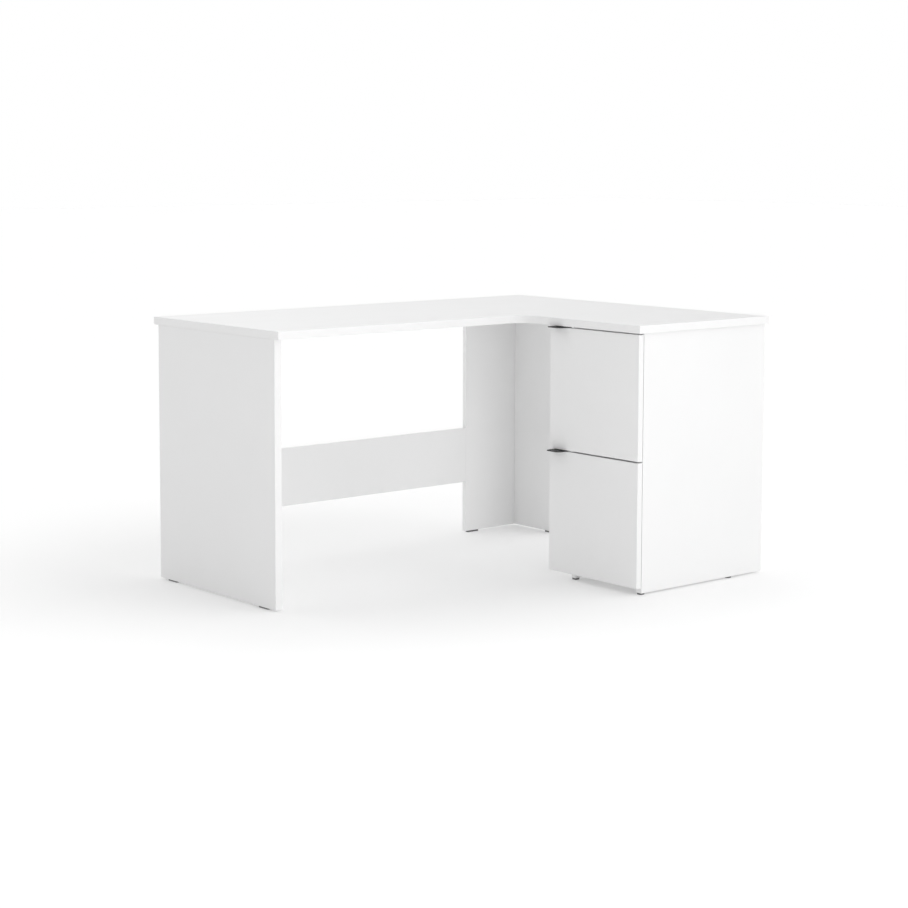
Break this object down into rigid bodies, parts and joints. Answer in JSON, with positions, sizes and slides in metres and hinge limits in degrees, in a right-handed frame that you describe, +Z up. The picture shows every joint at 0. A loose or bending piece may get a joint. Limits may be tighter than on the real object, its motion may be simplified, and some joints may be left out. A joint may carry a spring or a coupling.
{
  "type": "corner desk",
  "caption": "L-shaped white corner desk with a panel-leg main wing, a modesty panel, a corner leg and a two-drawer cabinet under the return.",
  "frame": {"origin": "centre of the desk's footprint rectangle, on the floor", "axes": "+Z up; +X along the back edge towards the outer side of the return; +Y towards the wall behind the desk; the return runs towards -Y and the drawers open towards -X"},
  "size_m": [1.395, 1.07, 0.75],
  "materials": {
    "worktop_laminate": "white melamine laminate on particleboard, fine satin texture",
    "edge_band": "white plastic edge band, satin",
    "panel_laminate": "white melamine laminate on particleboard, satin",
    "front_laminate": "white melamine laminate drawer front, satin",
    "box_laminate": "white foil-wrapped drawer box board",
    "thin_white_board": "thin hardboard, white lacquered",
    "black_metal": "matt black powder coat",
    "glide_plastic": "dark grey moulded plastic",
    "runner_steel": "bright zinc-plated steel",
    "zinc_steel": "zinc-plated steel",
    "cast_zinc": "die-cast zinc alloy, grey",
    "beech_dowel": "plain fluted beech"
  },
  "bodies": {
    "desk": {"cabinet_back": "thin_white_board", "cabinet_bottom": "panel_laminate", "cabinet_end_panel": "panel_laminate", "cabinet_front_rail": "panel_laminate", "cabinet_glides": "glide_plastic", "cabinet_inner_panel": "panel_laminate", "cabinet_rail_screws": "zinc_steel", "cabinet_rear_rail": "panel_laminate", "corner_leg_back": "panel_laminate", "corner_leg_screws": "zinc_steel", "corner_leg_side": "panel_laminate", "desk_cam_bolts": "zinc_steel", "desk_cam_locks": "cast_zinc", "desk_dowels": "beech_dowel", "desk_top": "worktop_laminate", "glide_screws": "zinc_steel", "left_side_edge_band": "edge_band", "left_side_panel": "panel_laminate", "lower_left_cabinet_rail": "runner_steel", "lower_right_cabinet_rail": "runner_steel", "modesty_panel": "panel_laminate", "panel_glides": "glide_plastic", "top_edge_band": "edge_band", "upper_left_cabinet_rail": "runner_steel", "upper_right_cabinet_rail": "runner_steel"},
    "upper_drawer": {"upper_drawer_back": "box_laminate", "upper_drawer_back_screws": "zinc_steel", "upper_drawer_bottom": "thin_white_board", "upper_drawer_bottom_screws": "zinc_steel", "upper_drawer_cam_bolts": "zinc_steel", "upper_drawer_cam_locks": "cast_zinc", "upper_drawer_front": "front_laminate", "upper_drawer_handle": "black_metal", "upper_drawer_handle_screws": "zinc_steel", "upper_drawer_left_side": "box_laminate", "upper_drawer_rail_screws": "zinc_steel", "upper_drawer_right_side": "box_laminate", "upper_left_drawer_rail": "runner_steel", "upper_right_drawer_rail": "runner_steel"},
    "lower_drawer": {"lower_drawer_back": "box_laminate", "lower_drawer_back_screws": "zinc_steel", "lower_drawer_bottom": "thin_white_board", "lower_drawer_bottom_screws": "zinc_steel", "lower_drawer_cam_bolts": "zinc_steel", "lower_drawer_cam_locks": "cast_zinc", "lower_drawer_front": "front_laminate", "lower_drawer_handle": "black_metal", "lower_drawer_handle_screws": "zinc_steel", "lower_drawer_left_side": "box_laminate", "lower_drawer_rail_screws": "zinc_steel", "lower_drawer_right_side": "box_laminate", "lower_left_drawer_rail": "runner_steel", "lower_right_drawer_rail": "runner_steel"},
    "upper_middle_rails": {"upper_left_middle_rail": "runner_steel", "upper_right_middle_rail": "runner_steel"},
    "lower_middle_rails": {"lower_left_middle_rail": "runner_steel", "lower_right_middle_rail": "runner_steel"}
  },
  "joints": [
    {"name": "upper_drawer_slide", "type": "slide", "parent": "desk", "child": "upper_drawer", "axis": [-1, 0, 0], "range_m": [0, 0.42]},
    {"name": "upper_middle_rail_slide", "type": "slide", "parent": "desk", "child": "upper_middle_rails", "axis": [-1, 0, 0], "range_m": [0, 0.21]},
    {"name": "lower_drawer_slide", "type": "slide", "parent": "desk", "child": "lower_drawer", "axis": [-1, 0, 0], "range_m": [0, 0.42]},
    {"name": "lower_middle_rail_slide", "type": "slide", "parent": "desk", "child": "lower_middle_rails", "axis": [-1, 0, 0], "range_m": [0, 0.21]}
  ],
  "couplings": [
    {"joint": "upper_middle_rail_slide", "follows": "upper_drawer_slide", "ratio": 0.5},
    {"joint": "lower_middle_rail_slide", "follows": "lower_drawer_slide", "ratio": 0.5}
  ]
}
